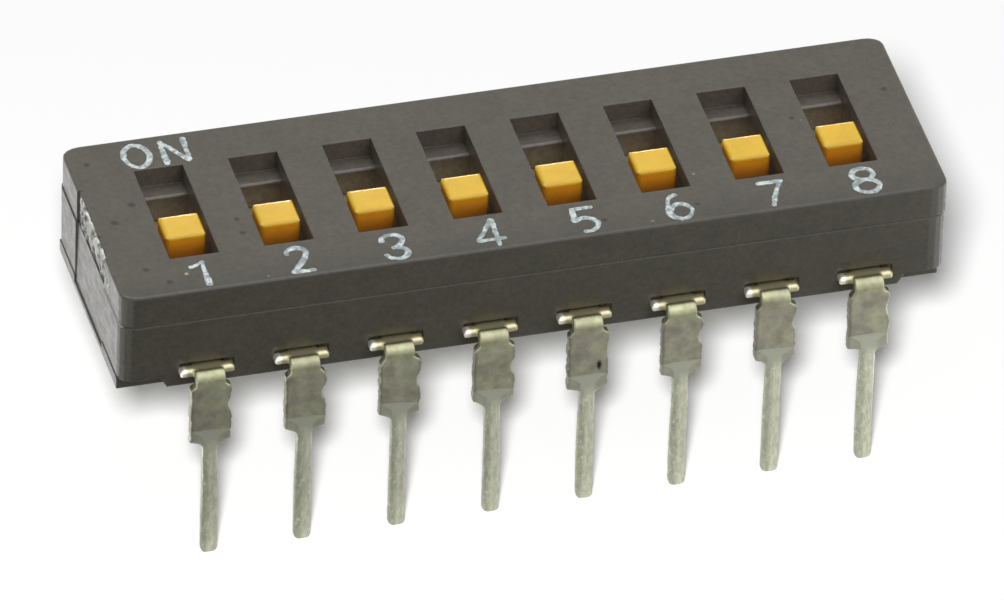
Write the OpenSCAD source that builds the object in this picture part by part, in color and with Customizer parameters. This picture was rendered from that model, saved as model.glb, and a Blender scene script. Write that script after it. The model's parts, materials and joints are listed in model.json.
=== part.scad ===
// Slide DIP switch, low profile, through-hole.
// Frame: origin under the middle of the body at the lead tips, +X along the row
// toward the last position, +Y toward the ON side, +Z up through the top face.

/* [Row] */
// Number of switch positions
positions = 8; // [2:1:8]
// Distance between neighbouring positions
pitch = 2.54; // [2.5:0.01:2.6]
// Distance between the two rows of leads, centre to centre
row_spacing = 7.62; // [7.5:0.01:7.7]
// Offset of the row from the middle of the housing, toward the last position
row_shift = 0.04; // [-0.1:0.01:0.1]

/* [Housing] */
// Height of the top face above the lead tips
top_z = 8.24; // [8.1:0.02:8.6]
// Length of housing beyond the middle of the first and last position
end_margin = 2.26; // [2.2:0.01:2.4]
// Width of the housing across the rows
body_w = 6.8; // [6.7:0.02:6.9]
// Height of the housing from its underside to the top face
body_h = 3.06; // [3:0.02:3.2]
// Depth of the cover above the parting line
cover_h = 0.96; // [0.9:0.02:1]
// Length of the rounding on the four vertical corners, along the row
corner_l = 0.5; // [0.3:0.05:0.6]
// Width of the rounding on the four vertical corners, across the rows
corner_w = 0.36; // [0.3:0.02:0.6]
// Radius on the edges round the top face
top_edge_r = 0.07; // [0.03:0.01:0.1]
// Height of the groove along the parting line
seam_h = 0.03; // [0.02:0.01:0.05]
// Depth of the groove along the parting line
seam_depth = 0.02; // [0.01:0.01:0.06]
// How far each long side of the base leans in from the parting line to the rim
base_draft = 0.04; // [0:0.01:0.06]
// Offset of the outside of the base from the cover, toward the last position
base_shift = -0.03; // [-0.04:0.01:0.04]

/* [Foot] */
// Height of the stepped foot under the rim of the base
foot_h = 0.33; // [0.25:0.01:0.4]
// How far the foot stands out from the gated end of the base
foot_proud = 0.02; // [0.01:0.01:0.04]
// Step from the other end of the base in to the foot
foot_end_step = 0.14; // [0.07:0.01:0.2]
// Step from the long side of the housing in to the foot, beside its corners
foot_side_step = 0.31; // [0.3:0.01:0.6]
// Length of the foot that comes out to the long sides, under the leads
pad_l = 19.74; // [19.4:0.02:20]
// Lean of each end of that length
pad_lean = 0.18; // [0:0.02:0.3]
// How far that length stands out from the rim
pad_proud = 0.01; // [0:0.01:0.03]
// Draft of that length, from the rim down
pad_draft = 0.06; // [0:0.01:0.1]

/* [Gate well] */
// Width of the shallow well on the left end, where both mouldings are gated
well_w = 2.95; // [2:0.05:4]
// Depth of the well at the top
well_depth = 0.06; // [0.04:0.01:0.12]
// Depth of the well at its lip
well_lip_depth = 0.02; // [0.01:0.01:0.04]
// Height of the lip that closes the well at the bottom
well_lip = 0.15; // [0.1:0.01:0.3]

/* [Slots] */
// Width of the slots in the cover
slot_w = 1.32; // [1.26:0.02:1.4]
// Length of the slots at the top face
slot_l = 3.92; // [3.8:0.02:4]
// Offset of the slots toward the ON side
slot_shift = 0.05; // [0:0.01:0.1]
// Depth of the ledge at each end of a slot
ledge_depth = 0.56; // [0.45:0.01:0.6]
// Length of the ledge at each end of a slot
ledge_l = 0.55; // [0.5:0.01:0.6]
// Radius on the edge of each ledge
ledge_r = 0.08; // [0.02:0.01:0.1]

/* [Cells] */
// Width of the cell under each slot
cell_w = 2.1; // [2.04:0.02:2.14]
// Length of the cells
cell_l = 5.3; // [5.28:0.02:5.5]
// Depth of the plug under the cover, which fills the mouth of the base
plug_h = 0.34; // [0.3:0.02:0.36]
// Clearance round and under the plug
plug_play = 0.02; // [0.01:0.01:0.03]
// Radius of the round detent rib on the side walls of each cell
detent_r = 0.15; // [0.12:0.01:0.18]
// Gap between a detent rib and the side of the slider that passes it
detent_play = 0.01; // [0.01:0.01:0.02]
// Diameter of the posts that locate the cover
post_d = 0.6; // [0.5:0.02:0.7]
// Length of those posts
post_l = 0.8; // [0.5:0.05:1]
// Distance from the middle of a post to the end of the housing
post_end_margin = 0.63; // [0.6:0.01:0.66]
// Distance from the middle of a post to the long side of the housing
post_side_margin = 1.2; // [1:0.05:1.4]
// Clearance round and under the posts
post_play = 0.02; // [0.01:0.01:0.04]

/* [Sliders] */
// Travel from OFF to ON
travel = 1.18; // [1:0.02:1.2]
// Width of the knob
knob_w = 1.1; // [1:0.02:1.16]
// Length of the knob along its travel
knob_l = 0.98; // [0.86:0.02:1.04]
// Height of the knob above the top face
knob_proud = 0; // [-0.2:0.02:0.2]
// Radius on the upper edges of the knob
knob_edge_r = 0.12; // [0.04:0.01:0.14]
// Radius on the upright edges of the knob
knob_side_r = 0.15; // [0.06:0.01:0.18]
// Length of the flange that closes the slot from inside
flange_l = 4.06; // [4.04:0.01:4.08]
// Thickness of the flange
flange_t = 0.38; // [0.34:0.01:0.4]
// Gap between the slider and the underside of the cover
roof_play = 0.02; // [0.01:0.01:0.03]
// Gap between the slider and the side walls of its cell
side_play = 0.05; // [0.04:0.01:0.07]
// Height of the side rails under the flange
rail_h = 0.5; // [0.4:0.02:0.52]
// Thickness of the side rails
rail_t = 0.2; // [0.18:0.01:0.25]
// Step from each end of the flange in to the side rails
rail_end_step = 0.1; // [0.05:0.01:0.2]
// Diameter of the post that the spring is staked on
stake_d = 0.4; // [0.34:0.02:0.44]
// Diameter of the staked head
stake_head_d = 0.62; // [0.58:0.02:0.66]
// Thickness of the staked head
stake_head_t = 0.1; // [0.06:0.01:0.12]

/* [Contact springs] */
// Thickness of the spring strip
spring_t = 0.08; // [0.06:0.01:0.1]
// Width of the spring strip
spring_w = 0.9; // [0.8:0.02:1]
// Distance from the middle of the spring to each wiping tip
spring_reach = 1.05; // [1.02:0.01:1.1]
// Angle of the arms
arm_angle = 50; // [46:1:54]
// Radius of the bend where an arm starts, on its middle line
arm_r = 0.15; // [0.12:0.01:0.18]
// Radius of the wiping tip, on its middle line
tip_r = 0.16; // [0.14:0.01:0.18]
// Angle to which each tip curls up again
tip_curl = 60; // [40:5:75]
// Width of the slit that splits each arm in two
slit_w = 0.14; // [0.1:0.02:0.2]
// Distance from the middle of the spring to the start of each slit
slit_start = 0.5; // [0.42:0.02:0.6]

/* [Terminals] */
// Thickness of the terminal strip
strip_t = 0.25; // [0.2:0.01:0.26]
// Depth of the cell floor and the top of the strip under the top face
floor_drop = 2.34; // [2.3:0.01:2.36]
// Width of the contact pads in the cell floor
pad_w = 1.2; // [1:0.05:1.4]
// Edge of the front contact pads along Y
front_pad_end = -0.1; // [-0.2:0.05:0]
// Edge of the back contact pads along Y
back_pad_end = 1; // [0.8:0.05:1.2]
// How far the contact pads are anchored in the wall of the base
anchor_l = 0.2; // [0.1:0.02:0.3]
// Width of the strip where it passes through the wall
wall_neck_w = 0.9; // [0.8:0.05:1.1]
// Width of the dam-bar stub outside the wall
stub_w = 1.46; // [1.4:0.02:1.6]
// How far the stub stands out from the side of the housing
stub_out = 0.23; // [0.12:0.01:0.23]
// Width of the neck at the bend
neck_w = 0.78; // [0.7:0.02:0.9]
// Inner radius of the bend
bend_r = 0.05; // [0.04:0.01:0.08]
// Width of the shouldered plate
plate_w = 1.08; // [1:0.02:1.2]
// Depth of the top of the plate under the top face
plate_drop = 2.74; // [2.7:0.01:2.8]
// Slope of the upper shoulders
shoulder_slope = 0.1; // [0:0.02:0.14]
// Depth of the coining line under the top face
coin_drop = 4.16; // [4:0.02:4.2]
// Thickness that coining takes from the outer face
coin_t = 0.03; // [0.01:0.01:0.05]
// Depth at which the seating shoulders meet the lead, under the top face
seat_drop = 4.65; // [4.5:0.01:4.7]
// Slope of the seating shoulders, up from the lead
seat_angle = 26; // [0:2:40]
// Width of the leads
lead_w = 0.4; // [0.36:0.01:0.5]
// Radius at the corners of the seating shoulders
seat_r = 0.08; // [0.04:0.01:0.14]
// Radius of the fillets between the seating shoulders and the lead
seat_fillet_r = 0.08; // [0.04:0.01:0.14]
// Radius at the corners of the lead tips
lead_tip_r = 0.14; // [0.08:0.01:0.18]
// Depth of the sheared notch in one edge of the plate
notch_depth = 0.08; // [0.03:0.01:0.1]
// Length of that notch
notch_l = 0.5; // [0.3:0.02:0.5]
// Distance from the top of the plate to the middle of the notch
notch_drop = 0.7; // [0.5:0.02:0.9]

/* [Hidden] */

body_l = (positions - 1) * pitch + 2 * end_margin;
seam_z = top_z - cover_h;
under_z = top_z - body_h;
rim_z = under_z + foot_h;
floor_z = top_z - floor_drop;
plug_z = seam_z - plug_h;
ledge_z = top_z - ledge_depth;
through_l = slot_l - 2 * ledge_l;
plug_l = (positions - 1) * pitch + cell_w;

// The sliders are drawn OFF, toward the numbered side
slider_y = slot_shift - travel / 2;
flange_z = plug_z - roof_play - flange_t;
flange_w = cell_w - 2 * side_play;
spring_z = flange_z - spring_t / 2;
stake_play = 0.01;

// Outer face of the vertical strip, the middle of its bend, and where the stub starts in the wall
wall_bite = 0.05;
outer_y = row_spacing / 2 + strip_t / 2;
bend_y = outer_y - bend_r - strip_t;
wall_y = body_w / 2 - base_draft - wall_bite;
plate_z = top_z - plate_drop;
coin_z = top_z - coin_drop;
seat_z = top_z - seat_drop;
bend_z = floor_z - strip_t - bend_r;

housing_color = [0.38, 0.37, 0.34];
slider_color = [0.92, 0.68, 0.2];
terminal_color = [0.72, 0.72, 0.62];
spring_color = [0.85, 0.7, 0.4];
arc_steps = 6;
// Flat facets in the rounding of a vertical corner
corner_steps = 4;
// Overlap of shapes that join, and how far cutters run past what they cut
eps = 0.01;
over = 1;

function arc_points(x, y, r, from, to, steps = arc_steps) =
    [for (i = [0:steps])
        let (a = from + (to - from) * i / steps)
            [x + r * cos(a), y + r * sin(a)]];

function mirrored(points) = [for (p = points) [-p[0], p[1]]];

function reversed(points) = [for (i = [len(points) - 1:-1:0]) points[i]];

function position_x(i) = (i - (positions + 1) / 2) * pitch + row_shift;

// Upright section that is `lean` narrower at the bottom and rounded at the top
module upright_section(half, low, high, lean, r) {
    side = concat([[half - lean, low]], arc_points(half - r, high - r, r, 0, 90));
    polygon(concat(side, reversed(mirrored(side))));
}

// Point of the rounding on a vertical corner, from the end (0) to the long side (corner_steps)
function corner_point(k) =
    let (a = 90 * k / corner_steps)
        [body_l / 2 - corner_l * (1 - cos(a)), body_w / 2 - corner_w * (1 - sin(a))];

// Direction that facet `k` of the rounding faces, and its distance from the middle
function corner_turn(k) =
    let (p = corner_point(k), q = corner_point(k + 1))
        atan2(p[0] - q[0], q[1] - p[1]);

function corner_reach(k) =
    let (p = corner_point(k), a = corner_turn(k))
        p[0] * cos(a) + p[1] * sin(a);

// Long block with rounded vertical corners, leaning long sides and a rounded top edge
module housing_block(low, high, lean, r, step = 0) {
    turns = concat(
        [0, 90],
        [for (k = [0:corner_steps - 1]) corner_turn(k)],
        [for (k = [0:corner_steps - 1]) -corner_turn(k)]
    );
    halves = concat(
        [body_l / 2, body_w / 2],
        [for (side = [-1, 1], k = [0:corner_steps - 1]) corner_reach(k)]
    );
    intersection_for (k = [0:len(turns) - 1])
        rotate([90, 0, turns[k]])
            linear_extrude(height = 2 * body_l, center = true)
                upright_section(halves[k] - step, low, high, lean * abs(sin(turns[k])), r);
}

// Cutter for the well between two heights, with its depth at each of them
module gate_well(low, high, low_depth, high_depth) {
    end_x = -body_l / 2;
    rotate([90, 0, 0])
        linear_extrude(height = well_w, center = true)
            polygon([
                [end_x - over, low], [end_x + low_depth, low],
                [end_x + high_depth, high], [end_x - over, high]
            ]);
}

module posts(d, length) {
    for (side = [-1, 1], end = [-1, 1])
        translate([
            end * (body_l / 2 - post_end_margin),
            side * (body_w / 2 - post_side_margin),
            seam_z - length
        ])
            cylinder(d = d, h = length + eps, $fn = 32);
}

// Slot with a rounded ledge at each end, cut through the cover and its plug
module slot() {
    half = through_l / 2;
    wall = slot_l / 2;
    side = concat(
        [[half, plug_z - over]],
        arc_points(half + ledge_r, ledge_z - ledge_r, ledge_r, 180, 90),
        [[wall, ledge_z], [wall, top_z + over]]
    );
    translate([0, slot_shift, 0])
        rotate([90, 0, 90])
            linear_extrude(height = slot_w, center = true)
                polygon(concat(side, reversed(mirrored(side))));
}

// Block with the outline of all the cells together, less a gap all round
module mouth(low, high, gap) {
    translate([row_shift - plug_l / 2 + gap, slot_shift - cell_l / 2 + gap, low])
        cube([plug_l - 2 * gap, cell_l - 2 * gap, high - low]);
}

module cover() {
    color(housing_color) {
        difference() {
            union() {
                housing_block(seam_z, top_z, 0, top_edge_r);
                mouth(plug_z, seam_z + eps, plug_play);
            }
            gate_well(plug_z, top_z + over, well_depth, well_depth);
            for (i = [1:positions])
                translate([position_x(i), 0, 0])
                    slot();
        }
        posts(post_d, post_l);
    }
}

module foot() {
    pad_half = pad_l / 2;
    pad_reach = body_w / 2 - base_draft + pad_proud;
    translate([base_shift - body_l / 2 - foot_proud, -body_w / 2 + foot_side_step, under_z])
        cube([body_l + foot_proud - foot_end_step, body_w - 2 * foot_side_step, foot_h + eps]);
    translate([base_shift, 0, 0])
        intersection() {
            foot_section(0, body_w, pad_half + pad_lean, pad_lean);
            foot_section(90, body_l, pad_reach, pad_draft);
        }
}

// Block across the foot whose two sides lean in by `lean` from the rim down
module foot_section(turn, reach, half, lean) {
    rotate([90, 0, turn])
        linear_extrude(height = reach, center = true)
            polygon([
                [lean - half, under_z], [half - lean, under_z],
                [half, rim_z + eps], [-half, rim_z + eps]
            ]);
}

// Cell with the two round ribs that the slider clicks past
module cell() {
    rib_x = cell_w / 2 - side_play + detent_play + detent_r;
    translate([0, slot_shift, floor_z])
        difference() {
            translate([-cell_w / 2, -cell_l / 2, 0])
                cube([cell_w, cell_l, top_z - floor_z]);
            for (side = [-1, 1])
                translate([side * rib_x, 0, -over])
                    cylinder(r = detent_r, h = plug_z - floor_z + over, $fn = 32);
        }
}

module base() {
    color(housing_color)
        difference() {
            union() {
                translate([base_shift, 0, 0]) {
                    housing_block(rim_z, seam_z - seam_h, base_draft, 0);
                    housing_block(seam_z - seam_h - eps, seam_z, 0, 0, seam_depth);
                }
                foot();
            }
            translate([base_shift, 0, 0])
                gate_well(under_z + well_lip, seam_z + eps, well_lip_depth, well_depth);
            posts(post_d + 2 * post_play, post_l + post_play);
            mouth(plug_z - plug_play, top_z, 0);
            for (i = [1:positions])
                translate([position_x(i), 0, 0]) {
                    cell();
                    level_strip(front_pad_end);
                    rotate([0, 0, 180])
                        level_strip(-back_pad_end);
                }
        }
}

module knob() {
    top = top_z + knob_proud;
    intersection() {
        rotate([90, 0, 0])
            linear_extrude(height = knob_l, center = true)
                upright_section(knob_w / 2, flange_z, top, 0, knob_edge_r);
        rotate([90, 0, 90])
            linear_extrude(height = knob_w, center = true)
                upright_section(knob_l / 2, flange_z, top, 0, knob_edge_r);
        translate([0, 0, flange_z])
            linear_extrude(height = top - flange_z)
                rounded_rectangle(knob_w, knob_l, knob_side_r);
    }
}

module rounded_rectangle(w, l, r) {
    corner_arc = arc_points(w / 2 - r, l / 2 - r, r, 0, 90);
    upper = concat(corner_arc, reversed(mirrored(corner_arc)));
    polygon(concat(upper, [for (p = upper) [-p[0], -p[1]]]));
}

// Side rail with one round click notch for each end of the travel
module rail() {
    translate([flange_w / 2 - rail_t, 0, flange_z - rail_h])
        difference() {
            translate([0, -flange_l / 2 + rail_end_step, 0])
                cube([rail_t, flange_l - 2 * rail_end_step, rail_h + eps]);
            for (end = [-1, 1])
                translate([rail_t + detent_r, end * travel / 2, -over])
                    cylinder(r = detent_r + side_play, h = rail_h + over, $fn = 32);
        }
}

module slider_body() {
    knob();
    translate([-flange_w / 2, -flange_l / 2, flange_z])
        cube([flange_w, flange_l, flange_t]);
    rail();
    rotate([0, 0, 180])
        rail();
    translate([0, 0, flange_z - spring_t - stake_head_t]) {
        cylinder(d = stake_d, h = spring_t + stake_head_t + eps, $fn = 32);
        cylinder(d = stake_head_d, h = stake_head_t, $fn = 32);
    }
}

module slider(i) {
    color(slider_color)
        translate([position_x(i), slider_y, 0])
            slider_body();
}

// One side of the spring's section, `side` off its middle line
function spring_edge(side) =
    let (
        low = floor_z + spring_t / 2,
        drop = spring_z - low - (arm_r + tip_r) * (1 - cos(arm_angle)),
        start = spring_reach - (arm_r + tip_r) * sin(arm_angle) - drop / tan(arm_angle)
    )
    concat(
        arc_points(start, spring_z - arm_r, arm_r + side, 90, 90 - arm_angle),
        arc_points(spring_reach, low + tip_r, tip_r - side, 270 - arm_angle, 270 + tip_curl)
    );

module spring_section() {
    upper = spring_edge(spring_t / 2);
    lower = spring_edge(-spring_t / 2);
    polygon(concat(
        reversed(mirrored(upper)), upper, reversed(lower), mirrored(lower)
    ));
}

module contact_spring(i) {
    color(spring_color)
        translate([position_x(i), slider_y, 0])
            difference() {
                rotate([90, 0, 90])
                    linear_extrude(height = spring_w, center = true)
                        spring_section();
                translate([0, 0, spring_z - over / 2])
                    cylinder(d = stake_d + 2 * stake_play, h = over, $fn = 32);
                for (turn = [0, 180])
                    rotate([0, 0, turn])
                        translate([-slit_w / 2, slit_start, floor_z - over])
                            cube([slit_w, spring_reach + over, spring_z - floor_z + 2 * over]);
            }
}

// Level part of the strip seen from above: pad, wall neck, dam-bar stub and neck
module strip_plan(pad_end) {
    anchor_y = cell_l / 2 + anchor_l;
    stub_end = body_w / 2 + stub_out;
    translate([-pad_w / 2, -anchor_y])
        square([pad_w, anchor_y + pad_end]);
    translate([-wall_neck_w / 2, -wall_y - eps])
        square([wall_neck_w, wall_y - anchor_y + 2 * eps]);
    translate([-stub_w / 2, -stub_end])
        square([stub_w, stub_end - wall_y]);
    translate([-neck_w / 2, -bend_y])
        square([neck_w, bend_y - wall_y]);
}

module level_strip(pad_end) {
    translate([0, 0, floor_z - strip_t])
        linear_extrude(height = strip_t)
            strip_plan(pad_end);
}

// Arc of radius abs(r) at x that touches the sloping seating shoulder, over (r > 0) or under it
function seat_arc(x, r, from, to) =
    arc_points(x, seat_z + (x - lead_w / 2) * tan(seat_angle) + r / cos(seat_angle), r, from, to);

// Hanging part of the strip seen from the front: neck, shouldered plate and lead
module strip_front() {
    half = plate_w / 2;
    lead_half = lead_w / 2;
    neck_half = neck_w / 2;
    edge = concat(
        [[neck_half, bend_z], [neck_half, plate_z], [half, plate_z - shoulder_slope]],
        seat_arc(half - seat_r, seat_r, 0, seat_angle - 90),
        seat_arc(lead_half + seat_fillet_r, -seat_fillet_r, seat_angle - 90, 0),
        arc_points(lead_half - lead_tip_r, lead_tip_r, lead_tip_r, 0, -90)
    );
    difference() {
        polygon(concat(edge, reversed(mirrored(edge))));
        notch();
    }
}

// Round bite left by the shears in the right-hand edge of the plate
module notch() {
    r = (notch_l * notch_l / 4 + notch_depth * notch_depth) / (2 * notch_depth);
    translate([plate_w / 2 - notch_depth + r, plate_z - notch_drop])
        circle(r = r, $fn = 64);
}

// Quarter turn of the strip from level to hanging
module bend() {
    translate([-neck_w / 2, -bend_y, bend_z])
        rotate([90, 0, 90])
            linear_extrude(height = neck_w)
                intersection() {
                    difference() {
                        circle(r = bend_r + strip_t, $fn = 64);
                        circle(r = bend_r, $fn = 64);
                    }
                    translate([-over, 0])
                        square([over, over]);
                }
}

// One terminal of the front row, at the middle of the row
module terminal(pad_end) {
    level_strip(pad_end);
    bend();
    difference() {
        translate([0, -outer_y + strip_t, 0])
            rotate([90, 0, 0])
                linear_extrude(height = strip_t)
                    strip_front();
        coining();
    }
}

// Wedge and slab that thin the outer face below the coining line
module coining() {
    lead_in = 0.08;
    rotate([90, 0, 90])
        linear_extrude(height = plate_w + over, center = true)
            polygon([
                [-outer_y - over, coin_z], [-outer_y, coin_z],
                [-outer_y + coin_t, coin_z - lead_in], [-outer_y + coin_t, -over],
                [-outer_y - over, -over]
            ]);
}

module terminal_front(i) {
    color(terminal_color)
        translate([position_x(i), 0, 0])
            terminal(front_pad_end);
}

module terminal_back(i) {
    color(terminal_color)
        translate([position_x(i), 0, 0])
            rotate([0, 0, 180])
                terminal(-back_pad_end);
}

cover();
base();
for (i = [1:positions]) {
    slider(i);
    contact_spring(i);
    terminal_front(i);
    terminal_back(i);
}
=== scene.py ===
"""Looks of an eight-position slide DIP switch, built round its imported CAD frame.

Order: camera, node helpers, stage and light, materials, mesh helpers, printed legend, formed
terminals, gate scar, build.
Lengths are written in millimetres and turned into metres with MM. Those of the lamps and of the
camera's clipping are in metres.
"""
import json
import math

import bpy
import numpy as np
from mathutils import Matrix, Vector


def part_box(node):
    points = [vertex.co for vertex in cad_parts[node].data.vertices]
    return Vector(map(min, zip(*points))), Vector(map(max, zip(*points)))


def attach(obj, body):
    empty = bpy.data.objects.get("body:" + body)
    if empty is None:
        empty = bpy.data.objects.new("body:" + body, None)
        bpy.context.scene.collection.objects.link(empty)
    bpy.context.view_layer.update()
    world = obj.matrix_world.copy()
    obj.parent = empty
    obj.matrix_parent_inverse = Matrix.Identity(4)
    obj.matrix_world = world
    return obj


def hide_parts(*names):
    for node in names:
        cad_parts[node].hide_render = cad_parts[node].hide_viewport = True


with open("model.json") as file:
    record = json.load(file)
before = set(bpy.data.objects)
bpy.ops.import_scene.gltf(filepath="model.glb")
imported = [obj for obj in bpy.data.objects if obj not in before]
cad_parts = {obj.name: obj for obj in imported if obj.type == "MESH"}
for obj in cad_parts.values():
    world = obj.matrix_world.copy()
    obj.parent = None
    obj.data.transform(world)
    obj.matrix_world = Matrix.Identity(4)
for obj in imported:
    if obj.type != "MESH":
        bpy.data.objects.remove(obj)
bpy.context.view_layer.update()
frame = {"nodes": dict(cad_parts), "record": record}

MM = 0.001
POSITIONS = 8
FIRST_X = -8.85
PITCH = 2.54

# ---------------------------------------------------------------- camera
PHOTO_W = 1004
PHOTO_H = 600
SENSOR_MM = 36.0
CAM_AZIMUTH = -15.85
CAM_ELEVATION = 37.07
CAM_ROLL = 1.683
CAM_DISTANCE = 485.8 * MM
CAM_FOCAL_PX = 18576.6
# The point that the camera was fitted round, and the pixel where it shows
CAM_TARGET = Vector((-0.02 * MM, 0, 8.2 * MM))
CAM_TARGET_PX = (504.17, 168.19)
CLIP_START = 0.01
CLIP_END = 10.0


def make_camera():
    """The camera of the photo."""
    azimuth = math.radians(CAM_AZIMUTH)
    elevation = math.radians(CAM_ELEVATION)
    roll = math.radians(CAM_ROLL)
    forward = Vector((
        -math.sin(azimuth) * math.cos(elevation),
        math.cos(azimuth) * math.cos(elevation),
        -math.sin(elevation),
    ))
    level_right = Vector((math.cos(azimuth), math.sin(azimuth), 0))
    level_up = level_right.cross(forward)
    right = math.cos(roll) * level_right + math.sin(roll) * level_up
    up = -math.sin(roll) * level_right + math.cos(roll) * level_up
    aside = (CAM_TARGET_PX[0] - PHOTO_W / 2) / CAM_FOCAL_PX * CAM_DISTANCE
    above = -(CAM_TARGET_PX[1] - PHOTO_H / 2) / CAM_FOCAL_PX * CAM_DISTANCE
    place = CAM_TARGET - (aside * right + above * up + CAM_DISTANCE * forward)
    data = bpy.data.cameras.new("camera")
    data.sensor_width = SENSOR_MM
    data.lens = CAM_FOCAL_PX / PHOTO_W * SENSOR_MM
    data.clip_start = CLIP_START
    data.clip_end = CLIP_END
    camera = bpy.data.objects.new("camera", data)
    axes = Matrix((right, up, -forward)).transposed()
    camera.matrix_world = Matrix.Translation(place) @ axes.to_4x4()
    bpy.context.scene.collection.objects.link(camera)
    bpy.context.scene.camera = camera


# ---------------------------------------------------------------- node helpers
class Nodes:
    """Short calls for building one node tree."""

    def __init__(self, tree):
        self.tree = tree
        tree.nodes.clear()

    def add(self, kind, **settings):
        node = self.tree.nodes.new(kind)
        for name, value in settings.items():
            setattr(node, name, value)
        return node

    def link(self, source, target):
        self.tree.links.new(source, target)

    def feed(self, socket, value):
        """Links a socket, or sets it where the value is a plain one."""
        if isinstance(value, bpy.types.NodeSocket):
            self.link(value, socket)
        else:
            socket.default_value = value

    def position(self, scale=(1, 1, 1)):
        """Object coordinates in millimetres, times a scale per axis."""
        coords = self.add("ShaderNodeTexCoord")
        mapping = self.add("ShaderNodeMapping")
        mapping.inputs["Scale"].default_value = [s / MM for s in scale]
        self.link(coords.outputs["Object"], mapping.inputs["Vector"])
        return mapping.outputs["Vector"]

    def noise(self, where, scale, detail=3.0, roughness=0.5):
        node = self.add("ShaderNodeTexNoise")
        self.link(where, node.inputs["Vector"])
        node.inputs["Scale"].default_value = scale
        node.inputs["Detail"].default_value = detail
        node.inputs["Roughness"].default_value = roughness
        return node.outputs["Fac"]

    def voronoi(self, where, scale):
        node = self.add("ShaderNodeTexVoronoi")
        self.link(where, node.inputs["Vector"])
        node.inputs["Scale"].default_value = scale
        return node.outputs["Distance"]

    def ramp(self, value, low, high, out_low=0.0, out_high=1.0):
        """Maps low..high to out_low..out_high, clamped."""
        node = self.add("ShaderNodeMapRange", clamp=True)
        self.feed(node.inputs["Value"], value)
        node.inputs["From Min"].default_value = low
        node.inputs["From Max"].default_value = high
        node.inputs["To Min"].default_value = out_low
        node.inputs["To Max"].default_value = out_high
        return node.outputs["Result"]

    def math(self, operation, first, second=0.0):
        node = self.add("ShaderNodeMath", operation=operation)
        self.feed(node.inputs[0], first)
        self.feed(node.inputs[1], second)
        return node.outputs["Value"]

    def absolute(self, value):
        return self.math("ABSOLUTE", value)

    def times(self, first, second):
        return self.math("MULTIPLY", first, second)

    def mix(self, share, first, second, blend="MIX"):
        node = self.add("ShaderNodeMix", data_type="RGBA", blend_type=blend)
        self.feed(node.inputs["Factor"], share)
        self.feed(node.inputs["A"], first)
        self.feed(node.inputs["B"], second)
        return node.outputs["Result"]

    def near(self, where, point, inner, outer, at_point=0.0, away=1.0):
        """One value round a point in millimetres, and another away from it."""
        node = self.add("ShaderNodeVectorMath", operation="DISTANCE")
        self.link(where, node.inputs[0])
        node.inputs[1].default_value = point
        return self.ramp(node.outputs["Value"], inner, outer, at_point, away)

    def gradient(self, value, stops):
        """Colours along a value, from stops that are pairs of a value and a colour."""
        low = stops[0][0]
        high = stops[-1][0]
        node = self.add("ShaderNodeValToRGB")
        elements = node.color_ramp.elements
        for _ in range(len(stops) - 2):
            elements.new(0.5)
        for element, (at, colour) in zip(elements, stops):
            element.position = (at - low) / (high - low)
            element.color = colour
        self.link(self.ramp(value, low, high), node.inputs["Fac"])
        return node.outputs["Color"]

    def scaled(self, colour, scale):
        node = self.add("ShaderNodeVectorMath", operation="SCALE")
        if isinstance(colour, bpy.types.NodeSocket):
            self.link(colour, node.inputs[0])
        else:
            node.inputs[0].default_value = colour[:3]
        self.feed(node.inputs["Scale"], scale)
        return node.outputs["Vector"]

    def axis(self, where, name):
        node = self.add("ShaderNodeSeparateXYZ")
        self.link(where, node.inputs["Vector"])
        return node.outputs[name]

    def bump(self, height, depth, normal=None):
        """Bump with its height in millimetres at a value of 1."""
        node = self.add("ShaderNodeBump")
        self.link(height, node.inputs["Height"])
        node.inputs["Distance"].default_value = depth * MM
        if normal is not None:
            self.link(normal, node.inputs["Normal"])
        return node.outputs["Normal"]


def rgb(red, green, blue):
    return (red, green, blue, 1.0)


def new_material(name, **constants):
    """A material with one Principled BSDF whose plain sockets are set by name."""
    material = bpy.data.materials.new(name)
    material.use_nodes = True
    nodes = Nodes(material.node_tree)
    shader = nodes.add("ShaderNodeBsdfPrincipled")
    output = nodes.add("ShaderNodeOutputMaterial")
    nodes.link(shader.outputs["BSDF"], output.inputs["Surface"])
    for socket, value in constants.items():
        shader.inputs[socket.replace("_", " ")].default_value = value
    return material, nodes, shader.inputs


# ---------------------------------------------------------------- stage and light
FLOOR_RADIUS = 400 * MM
FLOOR_COLOR = 0.9
FLOOR_BOUNCE_COLOR = 0.35
FLOOR_GLOW = 0.12
FLOOR_CORNERS = 96
AMBIENT = 0.17
# Brightness of the floor in a reflection: in front of the object at its left and right end,
# behind it, and what is added past its ends in front and behind
MIRROR_FRONT = (0.33, 0.67)
MIRROR_BACK = 0.8
MIRROR_PAST_FRONT = 0.98
MIRROR_PAST_BACK = 1.1
# What the lamps alone make of the floor
FLOOR_SHADE = 0.36
# Where those reflections change: x along the front, x past the ends, and y from front to back
MIRROR_ALONG = (-8, 12)
MIRROR_ENDS_FRONT = (13, 18)
MIRROR_ENDS_BACK = (11.5, 12.5)
MIRROR_TURN = (-6, -2)
LAMP_TARGET_Z = 5
# name: (direction to the lamp, distance and width in metres, level, what it lights).
# The level is the brightness of a white surface that faces the lamp.
LAMPS = {
    "shadow": ((-0.374, -1.123, 1.0), 0.5, 0.065, 1.3, "floor"),
    "overhead": ((-0.1, 0.3, 1.0), 0.4, 0.3, 0.54, "object"),
    "softbox": ((0.218, -0.602, 0.767), 0.3, 0.32, 0.47, "object"),
    "right": ((0.75, -0.65, 0.25), 0.07, 0.05, 0.06, "object"),
    "rim": ((0.15, 0.95, 0.28), 0.3, 0.07, 0.35, "sliders"),
}


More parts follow.
